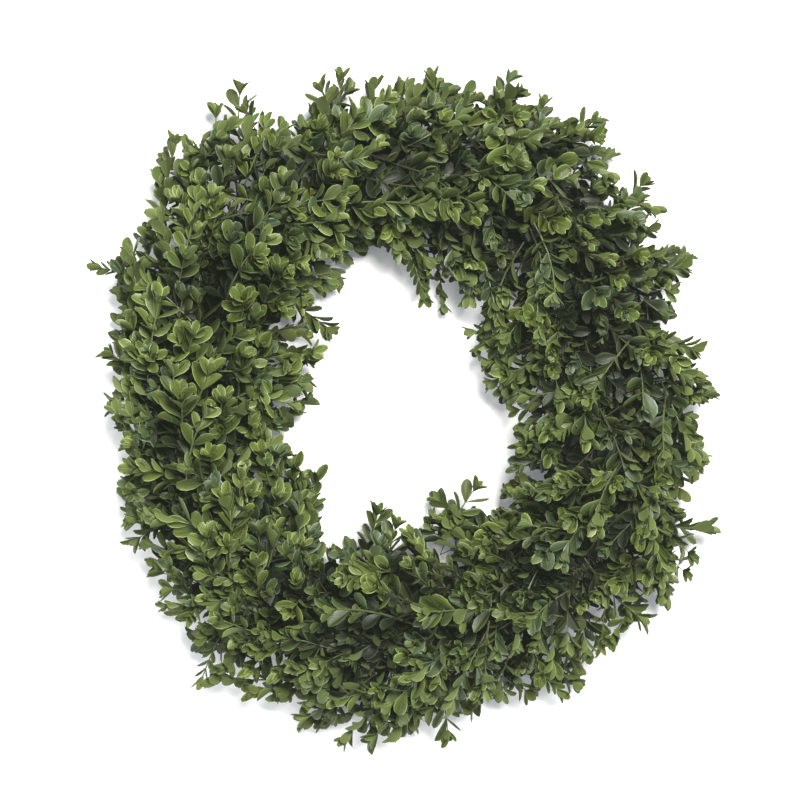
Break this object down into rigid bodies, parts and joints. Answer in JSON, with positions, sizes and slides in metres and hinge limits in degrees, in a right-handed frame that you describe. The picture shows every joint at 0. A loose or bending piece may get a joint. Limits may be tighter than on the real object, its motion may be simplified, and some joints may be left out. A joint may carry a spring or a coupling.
{
  "type": "boxwood wreath",
  "caption": "Full, loose wreath of leafy boxwood bunches bound with wire round a flat ring frame, with an uneven oval hole",
  "frame": {"origin": "on the surface that the wreath lies on, under the middle of its box", "axes": "+Z out of the wreath's face, +Y to its top and +X to its right, as it is seen face on"},
  "size_m": [0.5706, 0.6136, 0.1252],
  "materials": {
    "boxwood": "satin leaves on green shoots and woody stems",
    "frame_paint": "dark green gloss paint on steel wire",
    "wire_paint": "dark green lacquer on thin steel wire"
  },
  "bodies": {
    "root": {"wire_frame": "frame_paint", "binding_wire": "wire_paint", "bunch_outer_01": "boxwood", "bunch_outer_02": "boxwood", "bunch_outer_03": "boxwood", "bunch_outer_04": "boxwood", "bunch_outer_05": "boxwood", "bunch_outer_06": "boxwood", "bunch_outer_07": "boxwood", "bunch_outer_08": "boxwood", "bunch_outer_09": "boxwood", "bunch_outer_10": "boxwood", "bunch_outer_11": "boxwood", "bunch_outer_12": "boxwood", "bunch_outer_13": "boxwood", "bunch_outer_14": "boxwood", "bunch_outer_15": "boxwood", "bunch_face_01": "boxwood", "bunch_face_02": "boxwood", "bunch_face_03": "boxwood", "bunch_face_04": "boxwood", "bunch_face_05": "boxwood", "bunch_face_06": "boxwood", "bunch_face_07": "boxwood", "bunch_face_08": "boxwood", "bunch_face_09": "boxwood", "bunch_face_10": "boxwood", "bunch_face_11": "boxwood", "bunch_face_12": "boxwood", "bunch_face_13": "boxwood", "bunch_face_14": "boxwood", "bunch_face_15": "boxwood", "bunch_inner_01": "boxwood", "bunch_inner_02": "boxwood", "bunch_inner_03": "boxwood", "bunch_inner_04": "boxwood", "bunch_inner_05": "boxwood", "bunch_inner_06": "boxwood", "bunch_inner_07": "boxwood", "bunch_inner_08": "boxwood", "bunch_inner_09": "boxwood", "bunch_inner_10": "boxwood", "bunch_inner_11": "boxwood", "bunch_inner_12": "boxwood", "bunch_inner_13": "boxwood", "bunch_inner_14": "boxwood", "bunch_inner_15": "boxwood"}
  },
  "joints": []
}
